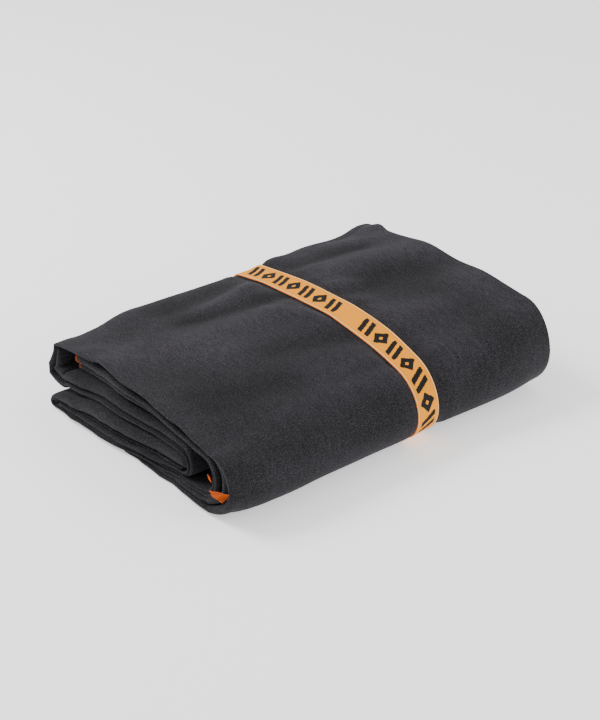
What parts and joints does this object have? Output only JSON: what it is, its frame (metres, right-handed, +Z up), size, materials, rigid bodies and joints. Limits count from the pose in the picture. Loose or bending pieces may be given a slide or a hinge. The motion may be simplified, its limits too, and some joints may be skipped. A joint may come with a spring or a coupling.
{
  "type": "folded quick dry towel",
  "caption": "Quick dry microfibre towel folded into a flat packet with a rounded front side, held by a loop of woven elastic that slides off along the packet.",
  "frame": {"origin": "middle of the folded packet's bounding box, on the surface it lies on", "axes": "+X along the packet towards its hemmed end, -Y towards the rounded front side, +Z up"},
  "size_m": [0.2, 0.1564, 0.0418],
  "materials": {
    "towel_cloth": "matt brushed microfibre with fine pale flecks",
    "hem_thread": "overlocked polyester thread",
    "woven_elastic": "woven elastic with raised selvedges and a dark woven pattern",
    "label_ribbon": "blank satin ribbon"
  },
  "bodies": {
    "towel": {"towel_panel_1": "towel_cloth", "towel_panel_2": "towel_cloth", "towel_panel_3": "towel_cloth", "towel_panel_4": "towel_cloth", "towel_panel_5": "towel_cloth", "towel_panel_6": "towel_cloth", "towel_panel_7": "towel_cloth", "towel_panel_8": "towel_cloth", "side_hem_outer": "hem_thread", "side_hem_inner": "hem_thread", "end_hem_outer": "hem_thread", "end_hem_inner": "hem_thread", "care_label": "label_ribbon"},
    "band": {"elastic_band": "woven_elastic", "bar_tack_upper": "hem_thread", "bar_tack_lower": "hem_thread"}
  },
  "joints": [
    {"name": "band_slide", "type": "slide", "parent": "towel", "child": "band", "axis": [1, 0, 0], "range_m": [-0.133, 0.096]}
  ]
}
